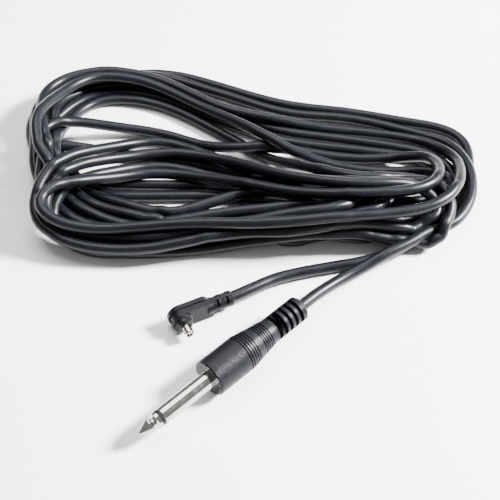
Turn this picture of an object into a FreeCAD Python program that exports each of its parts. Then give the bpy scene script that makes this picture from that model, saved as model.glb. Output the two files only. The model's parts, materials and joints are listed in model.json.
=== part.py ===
import FreeCAD, Part
import math
import os

import Sketcher
from FreeCAD import Placement, Rotation, Vector

# Flash synchronising lead for a camera: a 6.35 mm mono plug and a right-angled
# coaxial flash plug, joined by a long thin cable that lies in a loose flat hank.
# Frame: +Z up from the table, +X along the hank, origin under the middle of the two plugs.

SIZES = {
    # 6.35 mm mono plug, along its axis from the front face of the moulding
    "tip_reach": 31.8,
    "tip_length": 8.2,
    "cone_length": 4.2,
    "cone_radius": 2.65,
    "point_radius": 0.45,
    "neck_radius": 1.85,
    "shaft_radius": 3.175,
    "root_radius": 2.8,
    "ring_width": 1.5,
    "ring_radius": 3.0,
    "rod_radius": 1.15,
    "lining_radius": 1.7,
    "flange_radius": 4.6,
    "flange_front": 1.6,
    "flange_back": 3.2,
    "washer_radius": 4.2,
    "washer_width": 1.0,
    "tag_thick": 0.5,
    "rivet_radius": 1.6,
    "tag_reach": 10.5,
    "earth_radius": 5.3,
    "clamp_start": 16.5,
    "clamp_width": 3.0,
    "insert_radius": 5.7,
    "insert_front": 1.0,
    "insert_back": 20.3,
    "body_radius": 7.0,
    "rim_bevel": 0.4,
    "taper_start": 16.0,
    "taper_end": 29.6,
    "relief_radius": 4.85,
    "relief_end": 45.7,
    "relief_round": 0.9,
    "groove_width": 0.5,
    "groove_depth": 0.4,
    "slot_width": 1.45,
    "slot_floor": 2.9,
    "slot_start": 30.6,
    "slot_pitch": 2.72,
    "slot_angle": 150.0,
    # cable
    "cable_radius": 2.25,
    "core_radius": 1.0,
    "wire_radius": 0.35,
    "braid_radius": 0.5,
    "solder_radius": 0.9,
    "phone_jacket_end": 12.5,
    # coaxial flash plug, from the middle of its round head
    "pc_height": 4.4,
    "pc_step": 0.5,
    "pc_back": 2.1,
    "pc_ledge": 0.2,
    "pc_front": 2.3,
    "pc_boss": 3.4,
    "pc_boss_radius": 3.95,
    "pc_shoulder": 12.6,
    "pc_back_end": 10.0,
    "pc_back_foot": 11.8,
    "pc_relief_radius": 3.0,
    "pc_relief_start": 10.6,
    "pc_relief_end": 20.8,
    "pc_window_start": 12.9,
    "pc_window_width": 2.2,
    "pc_window_pitch": 3.9,
    "pc_window_floor": 2.45,
    "pc_window_angle": 58.0,
    "pc_collar_radius": 3.15,
    "pc_collar_front": 5.1,
    "pc_collar_bevel": 0.35,
    "pc_barrel_radius": 1.8,
    "pc_barrel_neck": 1.6,
    "pc_barrel_bore": 1.3,
    "pc_barrel_front": 9.1,
    "pc_slit_width": 0.4,
    "pc_slit_depth": 3.0,
    "pc_flange_radius": 2.5,
    "pc_flange_back": 2.8,
    "pc_earth_back": 2.4,
    "pc_bush_front": 6.2,
    "pc_bush_back": 2.0,
    "pc_pin_radius": 0.5,
    "pc_pin_front": 8.7,
    "pc_pin_back": 0.9,
    "pc_tag_front": 0.1,
    "pc_tag_radius": 1.5,
    "pc_insert_radius": 3.3,
    "pc_insert_front": 2.2,
    "pc_insert_back": 1.5,
    "pc_insert_end": 10.0,
    "pc_jacket_end": 11.0,
    "pc_solder_radius": 0.7,
    # hank of cable
    "hank_height": 20.0,
    "hank_round": 8.0,
}

GROOVE_ROWS = ((14.5, 1.12), (22.6, 1.02))   # first groove and pitch, behind the front face
GROOVES_IN_ROW = 5
SLOTS = 5
WINDOWS_ROUND = 4

# Places of the plugs on the table. Each plug's own X axis runs from its nose to its cable.
PHONE_FRAME = Placement(
    Vector(-6.24, -9.4, SIZES["body_radius"]),
    Rotation(Vector(0, 0, 1), 44.5) * Rotation(Vector(1, 0, 0), 35.0),
)
PC_FRAME = Placement(
    Vector(-17.6, 20.16, SIZES["pc_height"]),
    Rotation(Vector(0, 0, 1), 26.2),
)

# The cable's route from each plug to the hank, chosen by hand. Its first point is the plug's end.
PHONE_TAIL = [
    (33.4, 30.3, 5.9), (42.5, 38.8, 3.8), (52.0, 44.6, 4.4), (60.5, 49.2, 7.0), (70.5, 55.2, 6.8),
    (77.0, 60.6, 6.8),
]
PC_TAIL = [
    (8.2, 33.6, 4.1), (17.5, 40.2, 2.7), (28.5, 43.8, 2.25), (41.0, 46.6, 2.3), (54.0, 49.4, 2.25),
    (65.5, 54.8, 2.3), (72.0, 59.5, 2.25),
]
LEAST_BEND = 3 * 2 * SIZES["cable_radius"]

# The hank's outline on the table, anticlockwise, with its corners rounded off, and the gap in it.
HANK_OUTLINE = [
    (107, 99), (92, 126), (58, 137), (6, 144), (-38, 168), (-88, 153), (-90, 108), (-76, 58),
    (-40, 50), (12, 59), (64, 51), (94, 68),
]
HANK_GAP = [(-77, 118), (-70, 146), (-47, 150), (-6, 121), (-40, 121)]

doc = FreeCAD.newDocument("flash_lead")
sheet = doc.addObject("Spreadsheet::Sheet", "sizes")
nodes = []


class Size:
    """A length that carries both its value and the spreadsheet expression that gives it."""

    def __init__(self, value, text):
        self.value = value
        self.text = text

    def __add__(self, other):
        return Size(self.value + other.value, f"({self.text} + {other.text})")

    def __sub__(self, other):
        return Size(self.value - other.value, f"({self.text} - {other.text})")

    def __mul__(self, factor):
        return Size(self.value * factor, f"({self.text} * {factor})")

    def __neg__(self):
        return self * -1


def size(name):
    return Size(SIZES[name], f"sizes.{name}")


def plain(number):
    """A length that no cell holds, such as a coordinate worked out by a loop."""
    return Size(number, f"({number:.6f})")


ZERO = plain(0.0)


def fill_sheet():
    for row, (alias, value) in enumerate(SIZES.items(), start=1):
        sheet.set(f"A{row}", alias)
        sheet.set(f"B{row}", str(value))
        sheet.setAlias(f"B{row}", alias)
    doc.recompute()


def origin_item(body, role):
    """One of the body's own origin planes or axes, such as XZ_Plane."""
    return [item for item in body.Origin.OriginFeatures if item.Role == role][0]


def new_sketch(body, role, name, roll=0.0):
    """A sketch on one of the body's own planes, turned about its own horizontal axis by roll."""
    sketch = body.newObject("Sketcher::SketchObject", name)
    sketch.AttachmentSupport = [(origin_item(body, role), "")]
    sketch.MapMode = "FlatFace"
    sketch.AttachmentOffset = Placement(Vector(), Rotation(Vector(1, 0, 0), roll))
    return sketch


def pin_point(sketch, line, end, name, x, y):
    """Ties one end of a sketch line to the coordinates x, y."""
    for kind, axis, length in (("DistanceX", -2, x), ("DistanceY", -1, y)):
        if abs(length.value) < 1e-9:
            sketch.addConstraint(Sketcher.Constraint("PointOnObject", line, end, axis))
            continue
        index = sketch.addConstraint(
            Sketcher.Constraint(kind, -1, 1, line, end, length.value)
        )
        sketch.renameConstraint(index, f"{name}_{kind[-1]}")
        sketch.setExpression(f"Constraints.{name}_{kind[-1]}", length.text)


def draw_polygon(sketch, corners):
    """A closed outline of straight lines, every corner tied to the sheet."""
    count = len(corners)
    for index in range(count):
        start = Vector(corners[index][0].value, corners[index][1].value, 0)
        stop_corner = corners[(index + 1) % count]
        stop = Vector(stop_corner[0].value, stop_corner[1].value, 0)
        sketch.addGeometry(Part.LineSegment(start, stop), False)
    for index in range(count):
        sketch.addConstraint(
            Sketcher.Constraint("Coincident", index, 2, (index + 1) % count, 1)
        )
    for index, (x, y) in enumerate(corners):
        pin_point(sketch, index, 1, f"corner{index}", x, y)


def new_body(label, frame):
    body = doc.addObject("PartDesign::Body", label)
    body.Placement = frame
    return body


def turned(label, frame, corners, role="XY_Plane", axis="H_Axis"):
    """A body turned about a sketch axis from a profile of (along, radius) corners."""
    body = new_body(label, frame)
    sketch = new_sketch(body, role, f"{label}_profile")
    draw_polygon(sketch, corners)
    feature = body.newObject("PartDesign::Revolution", f"{label}_turn")
    feature.Profile = sketch
    feature.ReferenceAxis = (sketch, [axis])
    feature.Angle = 360
    return body


def tube_corners(start, stop, inner, outer):
    return [(start, inner), (stop, inner), (stop, outer), (start, outer)]


def upright(corners):
    """Swaps (along, radius) into (radius, along), for a profile turned about the vertical axis."""
    return [(radius, along) for along, radius in reversed(corners)]


def ring_groove(body, name, start, floor, outer, width, angle=None, roll=0.0):
    """Cuts a square groove round the body's X axis, or an arc of one centred on the sketch."""
    sketch = new_sketch(body, "XZ_Plane", f"{name}_section", roll)
    draw_polygon(sketch, tube_corners(start, start + width, floor, outer))
    groove = body.newObject("PartDesign::Groove", name)
    groove.Profile = sketch
    groove.ReferenceAxis = (sketch, ["H_Axis"])
    groove.Angle = 360
    if angle is not None:
        groove.Midplane = True
        groove.setExpression("Angle", angle.text)
    return groove


def box(label, frame, low, high):
    """A block between two opposite corners, given as Sizes in the plug's frame."""
    block = doc.addObject("Part::Box", label)
    for side, near, far in zip(("Length", "Width", "Height"), low, high):
        block.setExpression(side, (far - near).text)
    corner = Vector(*[value.value for value in low])
    block.Placement = frame * Placement(corner, Rotation())
    return block


def rod(label, frame, radius, start, stop):
    """A round bar between two points in the plug's frame."""
    begin = Vector(*start)
    along = Vector(*stop) - begin
    bar = doc.addObject("Part::Cylinder", label)
    bar.setExpression("Radius", radius.text)
    bar.Height = along.Length
    bar.Placement = frame * Placement(begin, Rotation(Vector(0, 0, 1), along))
    return bar


def ball(label, frame, radius, centre):
    bead = doc.addObject("Part::Sphere", label)
    bead.setExpression("Radius", radius.text)
    bead.Placement = frame * Placement(Vector(*centre), Rotation())
    return bead


def fused(label, pieces):
    joined = doc.addObject("Part::MultiFuse", label)
    joined.Shapes = pieces
    return joined


def cut(label, base, tools):
    """Base with every tool taken out of it."""
    tool = tools[0] if len(tools) == 1 else fused(f"{label}_space", tools)
    result = doc.addObject("Part::Cut", label)
    result.Base = base
    result.Tool = tool
    return result


def node(label, part):
    """Marks a finished piece, which is written to a file of that name."""
    part.Label = label
    nodes.append(part)
    return part


# ---- 6.35 mm mono plug -------------------------------------------------------------

def make_plug_tip():
    """Pointed tip contact with the long rod that carries it through the sleeve."""
    nose = -size("tip_reach")
    back = nose + size("tip_length")
    rivet = size("flange_back") + size("washer_width") + size("tag_thick")
    corners = [
        (nose, ZERO),
        (nose + plain(0.15), size("point_radius")),
        (nose + size("cone_length"), size("cone_radius")),
        (nose + size("cone_length") + plain(0.4), size("cone_radius")),
        (nose + size("cone_length") + plain(1.3), size("neck_radius")),
        (nose + size("cone_length") + plain(2.0), size("neck_radius")),
        (back - plain(1.1), size("shaft_radius") - plain(0.15)),
        (back, size("shaft_radius")),
        (back, size("rod_radius")),
        (rivet, size("rod_radius")),
        (rivet, size("rivet_radius")),
        (rivet + plain(0.5), size("rivet_radius") - plain(0.3)),
        (rivet + plain(0.5), ZERO),
    ]
    return node("plug_tip", turned("plug_tip", PHONE_FRAME, corners))


def make_plug_insulation():
    ring_front = -size("tip_reach") + size("tip_length")
    ring_back = ring_front + size("ring_width")
    ring = turned("tip_ring", PHONE_FRAME, tube_corners(
        ring_front, ring_back, size("rod_radius"), size("ring_radius")))
    lining = turned("sleeve_lining", PHONE_FRAME, tube_corners(
        ring_back, size("flange_back"), size("rod_radius"), size("lining_radius")))
    washer = turned("rear_washer", PHONE_FRAME, tube_corners(
        size("flange_back"), size("flange_back") + size("washer_width"),
        size("rod_radius"), size("washer_radius")))
    return [node(part.Name, part) for part in (ring, lining, washer)]


def make_plug_sleeve():
    """Sleeve contact: the long shaft, and a narrower root with a flange inside the moulding."""
    front = -size("tip_reach") + size("tip_length") + size("ring_width")
    corners = [
        (front, size("lining_radius")),
        (size("flange_back"), size("lining_radius")),
        (size("flange_back"), size("flange_radius")),
        (size("flange_front"), size("flange_radius")),
        (size("flange_front"), size("root_radius")),
        (ZERO, size("root_radius")),
        (ZERO, size("shaft_radius")),
        (front + plain(0.15), size("shaft_radius")),
        (front, size("shaft_radius") - plain(0.15)),
    ]
    return node("plug_sleeve", turned("plug_sleeve", PHONE_FRAME, corners))


def make_tip_tag():
    """Solder tag riveted behind the washer: an eye and a strip that runs back."""
    front = size("flange_back") + size("washer_width")
    back = front + size("tag_thick")
    eye = turned("tip_tag_eye", PHONE_FRAME, tube_corners(
        front, back, size("rod_radius"), plain(2.6)))
    strip = box("tip_tag_strip", PHONE_FRAME,
                (front, plain(-1.1), plain(1.9)), (size("tag_reach"), plain(1.1), plain(2.4)))
    return node("tip_tag", fused("tip_tag", [eye, strip]))


def make_earth_tag(jacket):
    """Earth tag in front of the flange, with a strip back to the clamp on the cable."""
    thick = size("tag_thick")
    outer = size("earth_radius")
    half = plain(1.2)
    step = size("clamp_start") - plain(2.5)
    under = -(size("cable_radius") + thick)
    eye = turned("earth_eye", PHONE_FRAME, tube_corners(
        size("insert_front"), size("flange_front"), size("root_radius"), outer))
    long_strip = box("earth_strip", PHONE_FRAME,
                     (size("insert_front"), -half, -outer), (step + thick, half, thick - outer))
    riser = box("earth_riser", PHONE_FRAME, (step, -half, -outer), (step + thick, half, under))
    foot = box("earth_foot", PHONE_FRAME,
               (step, -half, under), (size("clamp_start") + plain(0.5), half, plain(-1.8)))
    clamp = turned("earth_clamp_ring", PHONE_FRAME, tube_corners(
        size("clamp_start"), size("clamp_start") + size("clamp_width"),
        size("cable_radius"), size("cable_radius") + thick))
    opening = box("earth_clamp_gap", PHONE_FRAME,
                  (size("clamp_start") - plain(1), plain(-0.8), plain(0)),
                  (size("clamp_start") + size("clamp_width") + plain(1), plain(0.8), plain(4)))
    open_clamp = cut("earth_clamp", clamp, [opening])
    strap = fused("earth_strap", [eye, long_strip, riser, foot, open_clamp])
    return node("earth_tag", cut("earth_tag", strap, [jacket]))


def make_phone_cable_end():
    """The prepared cable end inside the mono plug, without its solder."""
    end = SIZES["phone_jacket_end"]
    jacket = turned("phone_jacket_end", PHONE_FRAME, [
        (size("phone_jacket_end"), ZERO), (size("relief_end"), ZERO),
        (size("relief_end"), size("cable_radius")), (size("phone_jacket_end"), size("cable_radius"))])
    core = rod("phone_core", PHONE_FRAME, size("core_radius"), (9.8, 0, 0), (end, 0, 0))
    wire = rod("phone_wire", PHONE_FRAME, size("wire_radius"), (7.0, 0, 1.45), (9.7, 0, 1.45))
    braid = rod("phone_braid", PHONE_FRAME, size("braid_radius"), (8.8, 0, -2.5), (end, 0, -1.7))
    pieces = (jacket, core, wire, braid)
    return [node(part.Name, part) for part in pieces]


def make_phone_solder(tip_tag, earth_tag, cable_end):
    jacket, core, wire, braid = cable_end
    live = cut("tip_solder", ball("tip_bead", PHONE_FRAME, size("solder_radius"), (7.6, 0, 1.4)),
               [tip_tag, wire])
    earth = cut("earth_solder",
                rod("earth_bead", PHONE_FRAME, size("solder_radius"), (8.6, 0, -4.9), (8.6, 0, -2.4)),
                [earth_tag, braid])
    return [node("tip_solder", live), node("earth_solder", earth)]


def phone_body_corners():
    bevel = size("rim_bevel")
    return [
        (ZERO, ZERO),
        (size("relief_end"), ZERO),
        (size("relief_end"), size("relief_radius") - size("relief_round")),
        (size("relief_end") - size("relief_round"), size("relief_radius")),
        (size("taper_end"), size("relief_radius")),
        (size("taper_start"), size("body_radius")),
        (bevel, size("body_radius")),
        (ZERO, size("body_radius") - bevel),
    ]


def surface_radius(along):
    """Radius of the mono plug's moulding at a place along it."""
    start, stop = SIZES["taper_start"], SIZES["taper_end"]
    share = min(max((along - start) / (stop - start), 0.0), 1.0)
    return SIZES["body_radius"] + share * (SIZES["relief_radius"] - SIZES["body_radius"])


def cut_grip_grooves(body):
    """Two rows of fine grooves round the taper."""
    for row, (first, pitch) in enumerate(GROOVE_ROWS):
        for index in range(GROOVES_IN_ROW):
            start = first + index * pitch
            floor = plain(surface_radius(start + SIZES["groove_width"])) - size("groove_depth")
            ring_groove(body, f"grip_{row}_{index}", plain(start), floor,
                        size("body_radius") + plain(1), size("groove_width"))


def cut_relief_slots(body):
    """Deep slots on two opposite sides of the strain relief, leaving a rib down each flank."""
    sides = []
    for name, roll in (("slot_upper", 0.0), ("slot_lower", 180.0)):
        sides.append(ring_groove(body, name, size("slot_start"), size("slot_floor"),
                                 size("relief_radius") + plain(1), size("slot_width"),
                                 size("slot_angle"), roll))
    pattern = body.newObject("PartDesign::LinearPattern", "slot_row")
    pattern.Originals = sides
    pattern.Direction = (sides[0].Profile[0], ["H_Axis"])
    pattern.Occurrences = SLOTS
    pattern.setExpression("Length", f"sizes.slot_pitch * {SLOTS - 1}")
    body.Tip = pattern


def make_phone_mouldings(inside, buried):
    """The stiff insert round the joints, then the outer moulding over it."""
    insert = turned("phone_insert_blank", PHONE_FRAME, [
        (size("insert_front"), ZERO), (size("insert_back"), ZERO),
        (size("insert_back"), size("insert_radius")), (size("insert_front"), size("insert_radius"))])
    body = turned("phone_body_blank", PHONE_FRAME, phone_body_corners())
    cut_grip_grooves(body)
    cut_relief_slots(body)
    node("phone_insert", cut("phone_insert", insert, inside))
    node("phone_moulding", cut("phone_moulding", body, buried + [insert]))


def make_phone_plug():
    tip = make_plug_tip()
    ring, lining, washer = make_plug_insulation()
    sleeve = make_plug_sleeve()
    tip_tag = make_tip_tag()
    cable_end = make_phone_cable_end()
    earth_tag = make_earth_tag(cable_end[0])
    solder = make_phone_solder(tip_tag, earth_tag, cable_end)
    joints = [tip_tag, earth_tag, sleeve, lining, washer, tip]
    make_phone_mouldings(joints + cable_end + solder,
                         [sleeve, lining, tip, cable_end[0]])


# ---- coaxial flash plug ------------------------------------------------------------

def make_pc_barrel():
    """Outer contact: a tube with a flange, slit at its mouth into four springy fingers."""
    front = -size("pc_barrel_front")
    corners = [
        (front, size("pc_barrel_bore")),
        (-size("pc_flange_back"), size("pc_barrel_bore")),
        (-size("pc_flange_back"), size("pc_flange_radius")),
        (-size("pc_boss"), size("pc_flange_radius")),
        (-size("pc_boss"), size("pc_barrel_neck")),
        (-size("pc_collar_front"), size("pc_barrel_neck")),
        (-size("pc_collar_front"), size("pc_barrel_radius")),
        (front + plain(0.3), size("pc_barrel_radius")),
        (front, size("pc_barrel_radius") - plain(0.2)),
    ]
    tube = turned("pc_barrel_tube", PC_FRAME, upright(corners), axis="V_Axis")
    half = size("pc_slit_width") * 0.5
    reach = plain(3.0)
    diagonal = PC_FRAME * Placement(Vector(), Rotation(Vector(0, 1, 0), 45))
    mouth = (front - plain(1.0), front + size("pc_slit_depth"))
    slits = [
        box("pc_slit_one", diagonal, (-reach, mouth[0], -half), (reach, mouth[1], half)),
        box("pc_slit_two", diagonal, (-half, mouth[0], -reach), (half, mouth[1], reach)),
    ]
    return node("pc_barrel", cut("pc_barrel", tube, slits))


def make_pc_small_parts():
    bush = turned("pc_bush", PC_FRAME, upright(tube_corners(
        -size("pc_bush_front"), -size("pc_bush_back"), size("pc_pin_radius"), size("pc_barrel_bore"))),
        axis="V_Axis")
    pin_front = -size("pc_pin_front")
    tag_back = size("pc_tag_front") + plain(0.4)
    pin = turned("pc_pin", PC_FRAME, upright([
        (pin_front, ZERO), (size("pc_pin_back"), ZERO), (size("pc_pin_back"), plain(0.9)),
        (tag_back, plain(0.9)), (tag_back, size("pc_pin_radius")),
        (pin_front + plain(0.3), size("pc_pin_radius")), (pin_front, plain(0.25))]), axis="V_Axis")
    bevel = size("pc_collar_bevel")
    collar_front = -size("pc_collar_front")
    collar = turned("pc_collar", PC_FRAME, upright([
        (collar_front, size("pc_barrel_neck")), (-size("pc_boss"), size("pc_barrel_neck")),
        (-size("pc_boss"), size("pc_collar_radius")),
        (collar_front + bevel, size("pc_collar_radius")),
        (collar_front, size("pc_collar_radius") - bevel)]), axis="V_Axis")
    return [node(part.Name, part) for part in (bush, pin, collar)]


def make_pc_tags():
    """The pin's tag, and the earth tag behind the barrel's flange."""
    tag_front = size("pc_tag_front")
    tag_back = tag_front + plain(0.4)
    eye = turned("pc_pin_eye", PC_FRAME, upright(tube_corners(
        tag_front, tag_back, size("pc_pin_radius"), size("pc_tag_radius"))), axis="V_Axis")
    strip = box("pc_pin_strip", PC_FRAME,
                (plain(1.0), tag_front, plain(-0.7)), (plain(5.5), tag_back, plain(0.7)))
    earth_front = -size("pc_flange_back")
    earth_back = -size("pc_earth_back")
    earth_eye = turned("pc_earth_eye", PC_FRAME, upright(tube_corners(
        earth_front, earth_back, size("pc_barrel_bore"), size("pc_flange_radius"))), axis="V_Axis")
    strip_front = plain(0.1) - size("pc_insert_front")
    earth_step = box("pc_earth_step", PC_FRAME,
                     (plain(1.8), earth_back, plain(-0.9)), (plain(2.6), plain(-1.6), plain(0.9)))
    earth_strip = box("pc_earth_strip", PC_FRAME,
                      (plain(1.8), strip_front, plain(-0.9)), (plain(7.0), plain(-1.6), plain(0.9)))
    return [node("pc_pin_tag", fused("pc_pin_tag", [eye, strip])),
            node("pc_earth_tag", fused("pc_earth_tag", [earth_eye, earth_step, earth_strip]))]


def make_pc_cable_end():
    end = SIZES["pc_jacket_end"]
    jacket = turned("pc_jacket_end", PC_FRAME, [
        (size("pc_jacket_end"), ZERO), (size("pc_relief_end"), ZERO),
        (size("pc_relief_end"), size("cable_radius")), (size("pc_jacket_end"), size("cable_radius"))])
    core = rod("pc_core", PC_FRAME, size("core_radius"), (6.6, 0, 0), (end, 0, 0))
    wire = rod("pc_wire", PC_FRAME, size("wire_radius"), (4.3, -0.3, 0), (6.6, -0.3, 0))
    braid = rod("pc_braid", PC_FRAME, size("braid_radius"), (7.05, -1.65, 0), (end, -1.65, 0))
    return [node(part.Name, part) for part in (jacket, core, wire, braid)]


def make_pc_solder(pin_tag, earth_tag, cable_end):
    jacket, core, wire, braid = cable_end
    radius = size("pc_solder_radius")
    live = cut("pc_pin_solder", rod("pc_pin_bead", PC_FRAME, radius, (4.4, -0.35, 0), (5.4, -0.35, 0)),
               [pin_tag, wire])
    earth = cut("pc_earth_solder",
                rod("pc_earth_bead", PC_FRAME, radius, (6.4, -1.45, 0), (7.6, -1.45, 0)),
                [earth_tag, braid, core])
    return [node("pc_pin_solder", live), node("pc_earth_solder", earth)]


def slab(label, frame, radius, outline_end, near, far):
    """A flat block with a round head, standing on edge: its outline lies in the XZ plane."""
    body = new_body(label, frame)
    sketch = new_sketch(body, "XZ_Plane", f"{label}_outline")
    top = [(ZERO, radius)] + [(x, z) for x, z in outline_end]
    low = [(x, -z) for x, z in reversed(outline_end)] + [(ZERO, -radius)]
    corners = top + low
    count = len(corners)
    for index in range(count - 1):
        start, stop = corners[index], corners[index + 1]
        sketch.addGeometry(Part.LineSegment(
            Vector(start[0].value, start[1].value, 0), Vector(stop[0].value, stop[1].value, 0)), False)
    head = Part.ArcOfCircle(Part.Circle(Vector(), Vector(0, 0, 1), radius.value),
                            math.pi / 2, 3 * math.pi / 2)
    arc = sketch.addGeometry(head, False)
    for index in range(count - 2):
        sketch.addConstraint(Sketcher.Constraint("Coincident", index, 2, index + 1, 1))
    sketch.addConstraint(Sketcher.Constraint("Coincident", arc, 1, 0, 1))
    sketch.addConstraint(Sketcher.Constraint("Coincident", arc, 2, count - 2, 2))
    sketch.addConstraint(Sketcher.Constraint("Coincident", arc, 3, -1, 1))
    for index, (x, z) in enumerate(corners[:-1]):
        pin_point(sketch, index, 1, f"corner{index}", x, z)
    sketch.addConstraint(Sketcher.Constraint("PointOnObject", count - 2, 2, -2))
    pad = body.newObject("PartDesign::Pad", f"{label}_pad")
    pad.Profile = sketch
    pad.setExpression("Length", (far - near).text)
    pad.Reversed = True
    sketch.AttachmentOffset = Placement(Vector(0, 0, -near.value), Rotation())
    return body


def make_pc_housing():
    """Back shell with a ledge, front block, boss under the collar, and the strain relief."""
    back_outline = [(size("pc_back_end"), size("pc_height")), (size("pc_back_foot"), plain(2.7))]
    front_height = size("pc_height") - size("pc_step")
    front_outline = [(size("pc_shoulder"), front_height)]
    back = slab("pc_back_shell", PC_FRAME, size("pc_height"), back_outline,
                size("pc_ledge"), size("pc_back"))
    front = slab("pc_front_block", PC_FRAME, front_height, front_outline,
                 -size("pc_front"), size("pc_ledge"))
    boss = turned("pc_nose_boss", PC_FRAME, upright([
        (-size("pc_boss"), ZERO), (size("pc_ledge"), ZERO), (size("pc_ledge"), size("pc_boss_radius")),
        (plain(0.6) - size("pc_boss"), size("pc_boss_radius")),
        (-size("pc_boss"), size("pc_boss_radius") - plain(0.6))]), axis="V_Axis")
    relief = turned("pc_relief", PC_FRAME, [
        (size("pc_relief_start"), ZERO), (size("pc_relief_end"), ZERO),
        (size("pc_relief_end"), size("pc_relief_radius") - plain(0.3)),
        (size("pc_relief_end") - plain(0.3), size("pc_relief_radius")),
        (size("pc_relief_start"), size("pc_relief_radius"))])
    cut_pc_windows(relief)
    return fused("pc_housing_blank", [back, front, boss, relief])


def cut_pc_windows(relief):
    """Two rows of four small windows round the strain relief."""
    windows = []
    for row in range(2):
        start = size("pc_window_start") + size("pc_window_pitch") * row
        windows.append(ring_groove(relief, f"pc_window_{row}", start, size("pc_window_floor"),
                                   size("pc_relief_radius") + plain(1), size("pc_window_width"),
                                   size("pc_window_angle"), 45.0))
    pattern = relief.newObject("PartDesign::PolarPattern", "pc_windows")
    pattern.Originals = windows
    pattern.Axis = (origin_item(relief, "X_Axis"), [""])
    pattern.Angle = 360
    pattern.Occurrences = WINDOWS_ROUND
    relief.Tip = pattern


def make_pc_mouldings(inside, buried):
    insert = slab("pc_insert_blank", PC_FRAME, size("pc_insert_radius"),
                  [(size("pc_insert_end"), size("pc_insert_radius"))],
                  -size("pc_insert_front"), size("pc_insert_back"))
    housing = make_pc_housing()
    node("pc_insert", cut("pc_insert", insert, inside))
    node("pc_moulding", cut("pc_moulding", housing, buried + [insert]))


def make_pc_plug():
    barrel = make_pc_barrel()
    bush, pin, collar = make_pc_small_parts()
    pin_tag, earth_tag = make_pc_tags()
    cable_end = make_pc_cable_end()
    solder = make_pc_solder(pin_tag, earth_tag, cable_end)
    metal = [barrel, bush, pin, pin_tag, earth_tag]
    make_pc_mouldings(metal + cable_end + solder, [barrel, bush, pin, earth_tag, cable_end[0]])


# ---- cable -------------------------------------------------------------------------

def corner_arc(before, corner, after):
    """The arc that rounds one corner of a route, as large as its two runs allow."""
    run_in, run_out = corner - before, after - corner
    cut_back = 0.45 * min(run_in.Length, run_out.Length)
    turn = run_in.getAngle(run_out)
    radius = cut_back / math.tan(turn / 2)
    start = corner - run_in.normalize() * cut_back
    stop = corner + run_out.normalize() * cut_back
    inward = (start + stop) * 0.5 - corner
    depth = radius / math.cos(turn / 2) - radius
    middle = corner + inward.normalize() * depth
    return start, middle, stop, radius


def route_wire(points, closed=False):
    """Straight runs joined by tangent arcs, and the arcs' radii."""
    count = len(points)
    corners = range(count) if closed else range(1, count - 1)
    arcs = [corner_arc(points[i - 1], points[i], points[(i + 1) % count]) for i in corners]
    edges = []
    last = arcs[-1][2] if closed else points[0]
    for start, middle, stop, radius in arcs:
        edges.append(Part.LineSegment(last, start).toShape())
        edges.append(Part.Arc(start, middle, stop).toShape())
        last = stop
    if not closed:
        edges.append(Part.LineSegment(last, points[-1]).toShape())
    return Part.Wire(edges), [arc[3] for arc in arcs]


def make_tail(label, first, route):
    """The free cable from a plug to the hank."""
    points = [first] + [Vector(*point) for point in route]
    path, radii = route_wire(points)
    ring = Part.Wire(Part.Circle(points[0], points[1] - points[0], SIZES["cable_radius"]).toShape())
    tail = doc.addObject("Part::Feature", label)
    tail.Shape = path.makePipeShell([ring], True, False)
    expected = math.pi * SIZES["cable_radius"] ** 2 * path.Length
    print(f"{label}: {path.Length:.1f} mm, bends {[round(r, 1) for r in radii]}, "
          f"volume {tail.Shape.Volume:.1f} of {expected:.1f}")
    if min(radii) < LEAST_BEND:
        raise ValueError(f"{label} bends too tightly")
    return node(label, tail)


def outline_face(points):
    wire, radii = route_wire([Vector(x, y, 0) for x, y in points], closed=True)
    return Part.Face(wire)


def make_hank(tails):
    """The coiled cable's outer shape: a low ring with rounded edges, let in round the tails."""
    height = Vector(0, 0, SIZES["hank_height"])
    block = outline_face(HANK_OUTLINE).extrude(height)
    rims = [edge for edge in block.Edges if edge.BoundBox.ZLength < 0.001 and edge.BoundBox.ZMin > 1]
    block = block.makeFillet(SIZES["hank_round"], rims)
    block = block.cut(outline_face(HANK_GAP).extrude(height))
    for tail in tails:
        block = block.cut(tail.Shape)
    hank = doc.addObject("Part::Feature", "cable_hank")
    hank.Shape = block
    return node("cable_hank", hank)


def make_cable():
    phone_end = PHONE_FRAME.multVec(Vector(SIZES["relief_end"], 0, 0))
    pc_end = PC_FRAME.multVec(Vector(SIZES["pc_relief_end"], 0, 0))
    tails = [make_tail("phone_tail", phone_end, PHONE_TAIL), make_tail("pc_tail", pc_end, PC_TAIL)]
    make_hank(tails)


def check_and_write():
    doc.recompute()
    failed = [item.Label for item in doc.Objects if {"Invalid", "Error"} & set(item.State)]
    if failed:
        raise ValueError(f"these failed: {failed}")
    os.makedirs("parts", exist_ok=True)
    for part in nodes:
        shape = part.Shape
        if shape.isNull() or not shape.isValid() or shape.Volume <= 0:
            raise ValueError(f"{part.Label} has no good shape")
        print(f"{part.Label}: {len(shape.Solids)} solid, {shape.Volume:.1f} mm3")
        shape.exportStep(f"parts/{part.Label}.step")


fill_sheet()
make_phone_plug()
make_pc_plug()
make_cable()
check_and_write()
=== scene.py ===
"""A flash synchronising lead: a moulded 6.35 mm phone plug, about five metres of cable in a loose
hank, and a right-angled flash plug, all lying on a pale table.

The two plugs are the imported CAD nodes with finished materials. The cable is one curve from plug to
plug: it repeats the two tails' routes, and the hank's lays are settled on each other by a loop.
"""

import json
import math
from collections import namedtuple

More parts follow.
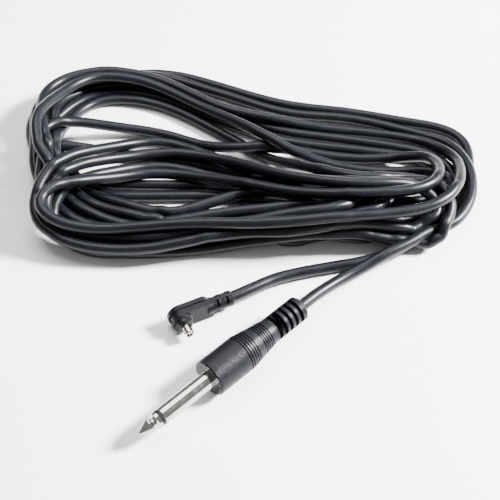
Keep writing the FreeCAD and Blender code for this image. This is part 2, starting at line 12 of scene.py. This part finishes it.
import bpy
import numpy as np
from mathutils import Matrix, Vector


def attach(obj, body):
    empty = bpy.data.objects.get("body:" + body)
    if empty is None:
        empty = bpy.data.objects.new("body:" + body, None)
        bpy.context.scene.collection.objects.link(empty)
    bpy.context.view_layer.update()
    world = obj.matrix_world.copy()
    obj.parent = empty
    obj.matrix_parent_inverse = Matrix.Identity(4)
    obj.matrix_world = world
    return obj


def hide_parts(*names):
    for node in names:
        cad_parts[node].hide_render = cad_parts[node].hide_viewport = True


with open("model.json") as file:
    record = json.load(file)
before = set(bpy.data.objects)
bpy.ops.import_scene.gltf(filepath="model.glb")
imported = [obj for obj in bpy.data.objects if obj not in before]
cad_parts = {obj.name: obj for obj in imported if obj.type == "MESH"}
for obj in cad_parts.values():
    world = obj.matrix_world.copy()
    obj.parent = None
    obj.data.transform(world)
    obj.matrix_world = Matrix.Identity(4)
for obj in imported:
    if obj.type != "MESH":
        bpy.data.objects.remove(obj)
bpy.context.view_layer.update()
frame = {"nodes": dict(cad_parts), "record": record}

MM = 0.001

# ---------------------------------------------------------------------------
# Driving sizes, in metres unless the name says otherwise
# ---------------------------------------------------------------------------
CABLE_DIAMETER = 4.5 * MM
PHONE_EXIT = (0.02636, 0.02263, 0.0070)     # where the cable leaves the phone plug
PHONE_INSIDE = (0.02351, 0.01983, 0.0070)   # its first point, hidden in the plug's strain relief
FLASH_EXIT = (0.00106, 0.02934, 0.0044)     # where it goes into the flash plug
FLASH_INSIDE = (-0.00253, 0.02757, 0.0044)  # its last point, hidden in the flash plug

# The tails' routes, the same points as in the part's source.
PHONE_TAIL = [
    (0.0334, 0.0303, 0.0059),
    (0.0425, 0.0388, 0.0038),
    (0.0520, 0.0446, 0.0044),
    (0.0605, 0.0492, 0.0070),
    (0.0705, 0.0552, 0.0068),
    (0.0770, 0.0606, 0.0068),
]
PC_TAIL = [
    (0.0082, 0.0336, 0.0041),
    (0.0175, 0.0402, 0.0027),
    (0.0285, 0.0438, 0.00225),
    (0.0410, 0.0466, 0.0023),
    (0.0540, 0.0494, 0.00225),
    (0.0655, 0.0548, 0.0023),
    (0.0720, 0.0595, 0.00225),
]

PHONE_HEADING = 44.5          # degrees from +X, the way the phone plug lies
TABLE_SIDE = 3.0
CAMERA_TARGET = (0.00804, 0.05706, 0.0)
CAMERA_DISTANCE = 0.425
CAMERA_ELEVATION = 48          # degrees
CAMERA_LENS = 77.98            # millimetres, on a 36 mm sensor


# ---------------------------------------------------------------------------
# Camera
# ---------------------------------------------------------------------------
def make_camera():
    """The camera looks along +Y and down at the lead."""
    data = bpy.data.cameras.new("camera")
    data.lens = CAMERA_LENS
    data.sensor_width = 36
    camera = bpy.data.objects.new("camera", data)
    bpy.context.collection.objects.link(camera)
    slope = math.radians(CAMERA_ELEVATION)
    back = Vector((0.0, -math.cos(slope), math.sin(slope))) * CAMERA_DISTANCE
    camera.location = Vector(CAMERA_TARGET) + back
    camera.rotation_euler = (math.radians(90 - CAMERA_ELEVATION), 0.0, 0.0)
    bpy.context.scene.camera = camera


# ---------------------------------------------------------------------------
# The hank: where each lay of the cable lies, in millimetres seen from above
# ---------------------------------------------------------------------------
DIAMETER_MM = CABLE_DIAMETER / MM
FLOOR_HEIGHT = DIAMETER_MM / 2
LAYER_RISE = 0.8       # how far above the floor each layer starts before it settles
TAIL_LAYER = 5.0       # the layer at which the phone plug's tail joins the pile
SHOULDER_BACK = 0.3    # how far a bend's shoulders stay short of its tip, as a share of the way to it
CURVE_SAMPLES = 24     # samples of the smooth line between two given points

# The hank settles twice: coarsely, then with points close enough together to miss no crossing.
# Spacing is between points, fairings even out the line before it falls, and sag is its fall in each
# step. In each step its height and its sideways shift are smoothed, and keep is the part of that
# shift that stays.
Settling = namedtuple("Settling", "spacing fairings steps sag height_rounds shift_rounds keep")
COARSE = Settling(5.0, 20, 250, 0.1, 8, 6, 0.9)
FINE = Settling(2.5, 0, 60, 0.02, 128, 24, 0.97)
FAIRING = 0.1          # how strongly each round of smoothing evens out a bend
CONTACTS = 8           # rounds of pushing touching lays apart, in each step
LOOK_EVERY = 10        # steps between two searches for touching lays
NEXT_TO = 25.0         # nearer than this along the cable, two points never count as touching
ALONGSIDE = 0.9        # lays are side by side, not crossing, if their headings' cosine is over this
LEAST_RISE = 0.3       # the upper of two lays counts as at least this much higher, so it goes up
OVERSHOOT = 1.3        # each push is made this many times over, to settle in fewer rounds

STATIONS = (-60, -32, -4, 24, 52, 78)  # lines across the hank, from its left to its right
BEND_SHARES = (0.32, 0.44)             # how soon a bend's shoulder comes, at the right and at the left
FIRST_BEND = (98, 91)                  # the bend between the phone plug's tail and the first lay

# The cable's own order, from the phone plug to the flash plug. The lays run to the left and to the
# right by turns. Each has its layer in the pile, how far back it is at each station from the left,
# and the tip of the bend that takes it into the next lay.
LAYS = (
    (3.0, (152, 159, 149, 136, 132, 122), (-84, 134)),
    (1.0, (60, 58, 60, 62, 64, 67), (90, 82)),
    (9.0, (151, 148, 129, 106, 100, 94), (-79, 107)),
    (2.0, (79, 67, 65, 64, 62, 64), (89, 75)),
    (6.0, (144, 141, 122, 100, 82, 86), (-74, 108)),
    (2.0, (76, 68, 68, 71, 75, 80), (91, 92)),
    (0.5, (149, 146, 130, 117, 112, 106), (-79, 122)),
    (1.0, (92, 91, 90, 82, 73, 76), (92, 93)),
    (2.0, (155, 153, 136, 124, 118, 111), (-78, 130)),
    (1.0, (87, 84, 84, 77, 65), (65, 77)),
    (4.0, (110, 107, 100, 88, 89), (-79, 106)),
    (3.0, (68, 62, 61, 62, 64), (64, 75)),
    (5.0, (84, 101, 94, 86, 87), (-71, 70)),
    (3.0, (58, 55, 58, 60, 61, 62), (87, 72)),
    (10.0, (97, 116, 103, 85, 77, 81), (-76, 70)),
    (4.0, (55, 54, 61, 59, 62, 64), (85, 73)),
    (12.0, (88, 105, 101, 84, 76, 81), (-72, 66)),
    (4.0, (60, 57, 58, 60), (50, 74)),
    (2.0, (85, 67, 78, 87), (-79, 109)),
    (7.0, (122, 123, 111, 110, 107, 104), (84, 94)),
    (14.0, (80, 94, 87, 75, 69, 74), (-75, 67)),
    (9.0, (58, 58, 58, 57, 60, 65), (94, 100)),
    (8.5, (153, 152, 134, 126, 124, 119), (-81, 135)),
    (1.0, (74, 70, 66, 62, 60), (65, 71)),
    (0.0, (78, 72, 73, 73, 81), (-87, 129)),
    (0.0, (157, 162, 152, 141, 136, 129), (100, 112)),
)


def bend_points(start, tip, end, share):
    """The tip of a bend between two lays, with a shoulder on each side of it."""
    shoulders = []
    for x, y in (start, end):
        back = math.copysign(SHOULDER_BACK * min(abs(tip[0] - x), abs(tip[1] - y)), tip[0] - x)
        shoulders.append((tip[0] - back, y + share * (tip[1] - y)))
    return [shoulders[0], tip, shoulders[1]]


def hank_points():
    """Points along every lay and bend, with the layer that each belongs to."""
    points = []
    start, layer_before, tip = PHONE_TAIL[-1][:2], TAIL_LAYER, FIRST_BEND
    start = start[0] / MM, start[1] / MM
    for number, (layer, across, next_tip) in enumerate(LAYS):
        lay = list(zip(STATIONS, across))
        if number % 2 == 0:
            lay.reverse()
        for x, y in bend_points(start, tip, lay[0], BEND_SHARES[number % 2]):
            points.append((x, y, 0.5 * (layer_before + layer)))
        points += [(x, y, layer) for x, y in lay]
        start, layer_before, tip = lay[-1], layer, next_tip
    end = PC_TAIL[-1][0] / MM, PC_TAIL[-1][1] / MM
    for x, y in bend_points(start, tip, end, BEND_SHARES[0]):
        points.append((x, y, layer_before))
    return points


def resampled(points, step):
    """The smooth line through the points, as points one step apart."""
    ends = 2 * points[0] - points[1], 2 * points[-1] - points[-2]
    row = np.vstack([ends[0], points, ends[1]])
    share = np.linspace(0.0, 1.0, CURVE_SAMPLES, endpoint=False)[:, None]
    stretches = []
    for before, here, there, beyond in zip(row, row[1:], row[2:], row[3:]):
        bend = 2 * before - 5 * here + 4 * there - beyond
        twist = 3 * here - before - 3 * there + beyond
        stretches.append(here + 0.5 * ((there - before) * share + bend * share**2 + twist * share**3))
    line = np.vstack(stretches + [points[-1:]])
    run = np.linalg.norm(np.diff(line[:, :2], axis=0), axis=1)
    travelled = np.concatenate([[0.0], np.cumsum(run)])
    places = np.linspace(0.0, travelled[-1], 1 + round(travelled[-1] / step))
    return np.column_stack([np.interp(places, travelled, column) for column in line.T])


def touching(line, layer, spacing):
    """Pairs of points that are over or beside each other, as the lower and the upper of each pair."""
    gap = np.linalg.norm(line[:, None, :2] - line[None, :, :2], axis=2)
    first, second = np.nonzero(np.triu(gap < DIAMETER_MM, k=round(NEXT_TO / spacing)))
    over = layer[first] > layer[second]
    return np.where(over, second, first), np.where(over, first, second)


def faired(values, rounds):
    """The values along a line, with its bends evened out a little in each round."""
    values = values.copy()
    for _ in range(rounds):
        bend = np.zeros_like(values)
        bend[2:-2] = 4 * (values[1:-3] + values[3:-1]) - values[:-4] - values[4:] - 6 * values[2:-2]
        values += FAIRING * bend
    return values


def sagged(line, chosen, free, way):
    """The free part falls a little and stays smooth, and drifts back towards its chosen way."""
    line[free, 2] -= way.sag
    line[free, 2] = faired(line[:, 2], way.height_rounds)[free]
    shift = line[:, :2] - chosen[:, :2]
    for _ in range(way.shift_rounds):
        shift[1:-1] = 0.25 * (shift[:-2] + 2 * shift[1:-1] + shift[2:])
    line[free, :2] = (chosen[:, :2] + way.keep * shift)[free]


def alongside(line, lower, upper):
    """Which of the touching pairs run side by side, where the others cross."""
    heading = np.gradient(line[:, :2], axis=0)
    heading /= np.linalg.norm(heading, axis=1)[:, None]
    return np.abs((heading[lower] * heading[upper]).sum(axis=1)) > ALONGSIDE


def pushes(line, lower, upper, beside):
    """How each pair has to part: straight up where lays cross, and outwards too side by side."""
    apart = line[upper] - line[lower]
    level = np.hypot(apart[:, 0], apart[:, 1])
    rise = np.maximum(apart[:, 2], LEAST_RISE)
    distance = np.hypot(level, rise)
    needed = np.sqrt(np.maximum(DIAMETER_MM**2 - level**2, 0.0))
    grow = DIAMETER_MM / distance
    push = np.column_stack([apart[:, :2] * (grow - 1.0)[:, None], rise * grow - apart[:, 2]])
    push[~beside] = 0.0
    push[~beside, 2] = (needed - apart[:, 2])[~beside]
    push[(distance >= DIAMETER_MM) | (apart[:, 2] > needed)] = 0.0
    return push


def parted(line, free, lower, upper, beside):
    """Moves the pairs apart, half each, and keeps everything on or above the floor."""
    push = pushes(line, lower, upper, beside)
    move = np.zeros_like(line)
    hits = np.zeros(len(line))
    np.add.at(move, upper, 0.5 * push)
    np.add.at(move, lower, -0.5 * push)
    np.add.at(hits, upper, push[:, 2] > 0)
    np.add.at(hits, lower, push[:, 2] > 0)
    move /= np.maximum(hits, 1.0)[:, None]
    line[free] += OVERSHOOT * move[free]
    line[:, 2] = np.maximum(line[:, 2], FLOOR_HEIGHT)


def settled(line, layer, held, way):
    """Lays the line down: it sags, stays smooth, and rests on the floor and on the lays below."""
    free = ~held
    line[free, :2] = faired(line[:, :2], way.fairings)[free]
    chosen = line.copy()
    for step in range(way.steps):
        if step % LOOK_EVERY == 0:
            lower, upper = touching(line, layer, way.spacing)
        sagged(line, chosen, free, way)
        beside = alongside(line, lower, upper)
        for _ in range(CONTACTS):
            parted(line, free, lower, upper, beside)
    return line


# ---------------------------------------------------------------------------
# The cable itself
# ---------------------------------------------------------------------------
def hank_line():
    """The settled hank between the two tails, in metres."""
    rows = [(x / MM, y / MM, z / MM, TAIL_LAYER, 1.0) for x, y, z in [PHONE_EXIT] + PHONE_TAIL]
    rows += [(x, y, FLOOR_HEIGHT + LAYER_RISE * layer, layer, 0.0) for x, y, layer in hank_points()]
    rows += [(x / MM, y / MM, z / MM, 0.0, 1.0) for x, y, z in reversed([FLASH_EXIT] + PC_TAIL)]
    rows = np.array(rows)
    for way in (COARSE, FINE):
        rows = resampled(rows, way.spacing)
        held = rows[:, 4] > 0.5
        rows[:, :3] = settled(rows[:, :3].copy(), rows[:, 3], held, way)
    free = np.flatnonzero(~held)
    return rows[free[0]:free[-1] + 1, :3] * MM


CURVE_STEPS = 5        # steps of the finished curve from one point to the next
SECTION_ROUNDNESS = 7  # Blender's bevel resolution for the cable's section


def add_cable():
    """One open spline through both tails and every lay."""
    points = [PHONE_INSIDE, PHONE_EXIT] + PHONE_TAIL
    points += [tuple(point) for point in hank_line()]
    points += list(reversed([FLASH_INSIDE, FLASH_EXIT] + PC_TAIL))
    curve = bpy.data.curves.new("cable", "CURVE")
    curve.dimensions = "3D"
    spline = curve.splines.new("NURBS")
    spline.points.add(len(points) - 1)
    for place, point in zip(spline.points, points):
        place.co = (*point, 1.0)
        place.radius = CABLE_DIAMETER / 2
    spline.order_u = 3
    spline.use_endpoint_u = True
    spline.resolution_u = CURVE_STEPS
    curve.bevel_depth = 1.0  # times each point's own radius
    curve.bevel_resolution = SECTION_ROUNDNESS
    curve.use_fill_caps = True
    cable = bpy.data.objects.new("cable", curve)
    bpy.context.collection.objects.link(cable)
    return cable


def line_length(piece):
    """The length of a curve's own line, in metres."""
    depth, piece.data.bevel_depth = piece.data.bevel_depth, 0.0
    mesh = bpy.data.meshes.new_from_object(piece)
    piece.data.bevel_depth = depth
    points = np.array([vertex.co for vertex in mesh.vertices])
    bpy.data.meshes.remove(mesh)
    return float(np.linalg.norm(np.diff(points, axis=0), axis=1).sum())


make_camera()
cable = add_cable()
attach(cable, "root")
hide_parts("phone_tail", "pc_tail", "cable_hank")
line_length(cable)


# ---------------------------------------------------------------------------
# Materials
# ---------------------------------------------------------------------------
POLISH_EDGE = (0.98, 0.995)  # cosines to the polished direction between which the skin fades in


class Finish:
    """A node material with one Principled shader, and short calls for the usual textures."""

    def __init__(self, name, colour, roughness, metallic=0.0, specular=0.5):
        self.material = bpy.data.materials.new(name)
        self.material.use_nodes = True
        self.nodes = self.material.node_tree.nodes
        self.links = self.material.node_tree.links
        self.shader = self.nodes["Principled BSDF"]
        self.shader.inputs["Base Color"].default_value = (*colour, 1.0)
        self.shader.inputs["Roughness"].default_value = roughness
        self.shader.inputs["Metallic"].default_value = metallic
        self.shader.inputs["Specular IOR Level"].default_value = specular
        self.place = self.nodes.new("ShaderNodeTexCoord").outputs["Object"]

    def stretched(self, turn, scale):
        """Object coordinates turned about the vertical by degrees and stretched."""
        mapping = self.nodes.new("ShaderNodeMapping")
        mapping.inputs["Rotation"].default_value = (0.0, 0.0, math.radians(turn))
        mapping.inputs["Scale"].default_value = scale
        self.links.new(self.place, mapping.inputs["Vector"])
        return mapping.outputs["Vector"]

    def noise(self, scale, detail=3.0, place=None):
        """A noise texture's output; scale is in blots per metre."""
        node = self.nodes.new("ShaderNodeTexNoise")
        node.inputs["Scale"].default_value = scale
        node.inputs["Detail"].default_value = detail
        self.links.new(place or self.place, node.inputs["Vector"])
        return node.outputs["Fac"]

    def spread(self, value, low, high, start=0.3, end=0.7):
        """A texture's start to end as a number from low to high."""
        node = self.nodes.new("ShaderNodeMapRange")
        node.inputs["From Min"].default_value = start
        node.inputs["From Max"].default_value = end
        node.inputs["To Min"].default_value = low
        node.inputs["To Max"].default_value = high
        self.links.new(value, node.inputs["Value"])
        return node.outputs["Result"]

    def tint(self, value, dark, light, start=0.3, end=0.7):
        """The base colour runs from dark to light with a texture."""
        ramp = self.nodes.new("ShaderNodeValToRGB")
        ramp.color_ramp.elements[0].position = start
        ramp.color_ramp.elements[0].color = (*dark, 1.0)
        ramp.color_ramp.elements[1].position = end
        ramp.color_ramp.elements[1].color = (*light, 1.0)
        self.links.new(value, ramp.inputs["Fac"])
        self.links.new(ramp.outputs["Color"], self.shader.inputs["Base Color"])

    def polish(self, direction, roughness):
        """A glossy skin on the faces that look in a direction, and none on the others."""
        node = self.nodes.new("ShaderNodeVectorMath")
        node.operation = "DOT_PRODUCT"
        node.inputs[1].default_value = direction
        self.links.new(self.nodes.new("ShaderNodeTexCoord").outputs["Normal"], node.inputs[0])
        skin = self.spread(node.outputs["Value"], 0.0, 1.0, *POLISH_EDGE)
        self.links.new(skin, self.shader.inputs["Coat Weight"])
        self.shader.inputs["Coat Roughness"].default_value = roughness

    def roughen(self, value, low, high):
        """The roughness varies from low to high with a texture."""
        self.links.new(self.spread(value, low, high), self.shader.inputs["Roughness"])

    def bump(self, value, depth, strength=1.0):
        """A relief of that depth in metres, on top of any relief already there."""
        node = self.nodes.new("ShaderNodeBump")
        node.inputs["Distance"].default_value = depth
        node.inputs["Strength"].default_value = strength
        self.links.new(value, node.inputs["Height"])
        normal = self.shader.inputs["Normal"]
        if normal.is_linked:
            self.links.new(normal.links[0].from_socket, node.inputs["Normal"])
        self.links.new(node.outputs["Normal"], normal)


def jacket_finish():
    """Satin black vinyl with faint scuffs and dust, and the slight orange peel of extrusion."""
    finish = Finish("cable_jacket", (0.004, 0.004, 0.005), 0.38, specular=0.20)
    finish.tint(finish.noise(900, 6), (0.0018, 0.0020, 0.0034), (0.0052, 0.0056, 0.0084))
    finish.roughen(finish.noise(160, 5), 0.30, 0.42)
    finish.bump(finish.noise(1400, 3), 0.04 * MM, 0.35)
    return finish.material


def moulding_finish():
    """Charcoal moulded plastic with an eroded grain, polished only on the phone plug's front face."""
    finish = Finish("moulding_black", (0.005, 0.005, 0.007), 0.42, specular=0.12)
    finish.tint(finish.noise(1500, 5), (0.0020, 0.0021, 0.0032), (0.0080, 0.0082, 0.0110))
    finish.roughen(finish.noise(500, 4), 0.34, 0.48)
    heading = math.radians(PHONE_HEADING)
    finish.polish((-math.cos(heading), -math.sin(heading), 0.0), 0.16)
    finish.bump(finish.noise(1300, 4), 0.12 * MM, 0.8)
    finish.bump(finish.noise(700, 2), 0.05 * MM, 0.3)
    return finish.material


def nickel_finish():
    """Bright nickel plate over turned brass, with fine lathe rings and light handling marks."""
    finish = Finish("nickel_plate", (0.46, 0.45, 0.43), 0.14, metallic=1.0)
    rings = finish.stretched(-PHONE_HEADING, (9000, 40, 40))
    finish.bump(finish.noise(1.0, 2, rings), 0.004 * MM, 0.3)
    finish.roughen(finish.noise(420, 5), 0.07, 0.17)
    finish.tint(finish.noise(300, 5), (0.40, 0.39, 0.37), (0.52, 0.51, 0.49))
    return finish.material


def plain_finish(name, dark, light, roughness, metallic=0.0, grain=1500, specular=0.5):
    """A small part's finish: mottled colour, uneven gloss and a fine grain."""
    finish = Finish(name, light, roughness, metallic, specular)
    finish.tint(finish.noise(grain, 4), dark, light)
    finish.roughen(finish.noise(0.4 * grain, 4), 0.8 * roughness, 1.2 * roughness)
    finish.bump(finish.noise(3 * grain, 2), 0.02 * MM, 0.4)
    return finish.material


def make_finishes():
    """Every material slot's finish by the slot's name."""
    return {
        "cable_jacket": jacket_finish(),
        "moulding_black": moulding_finish(),
        "nickel_plate": nickel_finish(),
        "black_insulation": plain_finish("black_insulation", (0.004, 0.004, 0.005),
                                         (0.008, 0.008, 0.009), 0.30, specular=0.15),
        "insert_plastic": plain_finish("insert_plastic", (0.66, 0.64, 0.58), (0.74, 0.72, 0.66), 0.55),
        "core_insulation": plain_finish("core_insulation", (0.80, 0.79, 0.75),
                                        (0.88, 0.87, 0.83), 0.45),
        "tinned_brass": plain_finish("tinned_brass", (0.64, 0.60, 0.48), (0.76, 0.72, 0.60), 0.32, 1.0),
        "copper_strand": plain_finish("copper_strand", (0.62, 0.32, 0.19),
                                      (0.80, 0.48, 0.32), 0.30, 1.0),
        "solder_metal": plain_finish("solder_metal", (0.52, 0.52, 0.54), (0.68, 0.68, 0.69), 0.38, 1.0),
        "pin_metal": plain_finish("pin_metal", (0.74, 0.60, 0.34), (0.86, 0.74, 0.50), 0.22, 1.0),
    }


def paint():
    """Gives each CAD node and the cable the finish of its slot."""
    finishes = make_finishes()
    for part in frame["record"]["subparts"]:
        node = frame["nodes"][part["node"]]
        node.data.materials.clear()
        node.data.materials.append(finishes[part["material_slot"]])
    cable.data.materials.append(finishes["cable_jacket"])


paint()


# ---------------------------------------------------------------------------
# Table and lights
# ---------------------------------------------------------------------------
SKY_STRENGTH = 0.42
LIGHT_AIM = (0.0, 0.06, 0.0)
LIGHTS = (  # name, position and side of the square in metres, and power in watts
    ("key_right", (0.85, 0.22, 0.62), 0.22, 120.0),
    ("soft_top", (-0.10, 0.45, 0.95), 0.8, 15.0),
)


def make_table():
    """A pale matt table top."""
    mesh = bpy.data.meshes.new("table_top")
    side = TABLE_SIDE / 2
    corners = [(-side, -side, 0.0), (side, -side, 0.0), (side, side, 0.0), (-side, side, 0.0)]
    mesh.from_pydata(corners, [], [(0, 1, 2, 3)])
    table = bpy.data.objects.new("table_top", mesh)
    bpy.context.collection.objects.link(table)
    finish = Finish("table_top", (0.86, 0.86, 0.86), 0.55)
    finish.tint(finish.noise(14, 3), (0.85, 0.85, 0.85), (0.88, 0.88, 0.88))
    mesh.materials.append(finish.material)


def make_light(name, position, size, watts):
    """A square soft light that shines on the lead."""
    data = bpy.data.lights.new(name, "AREA")
    data.size = size
    data.energy = watts
    light = bpy.data.objects.new(name, data)
    bpy.context.collection.objects.link(light)
    light.location = position
    light.rotation_euler = (Vector(LIGHT_AIM) - Vector(position)).to_track_quat("-Z", "Y").to_euler()


def make_sky(strength):
    """An even white surround."""
    world = bpy.data.worlds.new("surround")
    world.use_nodes = True
    world.node_tree.nodes["Background"].inputs["Color"].default_value = (1.0, 1.0, 1.0, 1.0)
    world.node_tree.nodes["Background"].inputs["Strength"].default_value = strength
    bpy.context.scene.world = world


make_table()
make_sky(SKY_STRENGTH)
for light_row in LIGHTS:
    make_light(*light_row)
